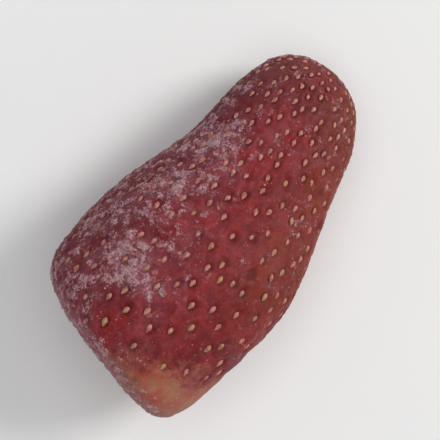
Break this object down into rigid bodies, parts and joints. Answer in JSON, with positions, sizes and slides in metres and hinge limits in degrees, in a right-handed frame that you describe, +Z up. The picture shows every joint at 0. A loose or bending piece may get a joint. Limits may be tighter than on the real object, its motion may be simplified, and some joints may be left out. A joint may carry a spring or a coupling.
{
  "type": "frozen hulled strawberry",
  "caption": "Whole frozen strawberry with its hull removed: a long blunt wedge of a berry with a slanted, shallowly dented top end, lying on its side on a small flat spot",
  "frame": {"origin": "under the middle of the berry's box, on the surface that it lies on", "axes": "+X runs along the berry from its hulled end to its tip, +Y runs across it, +Z is up"},
  "size_m": [0.0494, 0.0282, 0.0254],
  "materials": {
    "skin": "dull dark red frozen skin with pale seeds in small pits and patches of fine frost"
  },
  "bodies": {
    "root": {"strawberry": "skin"}
  },
  "joints": []
}
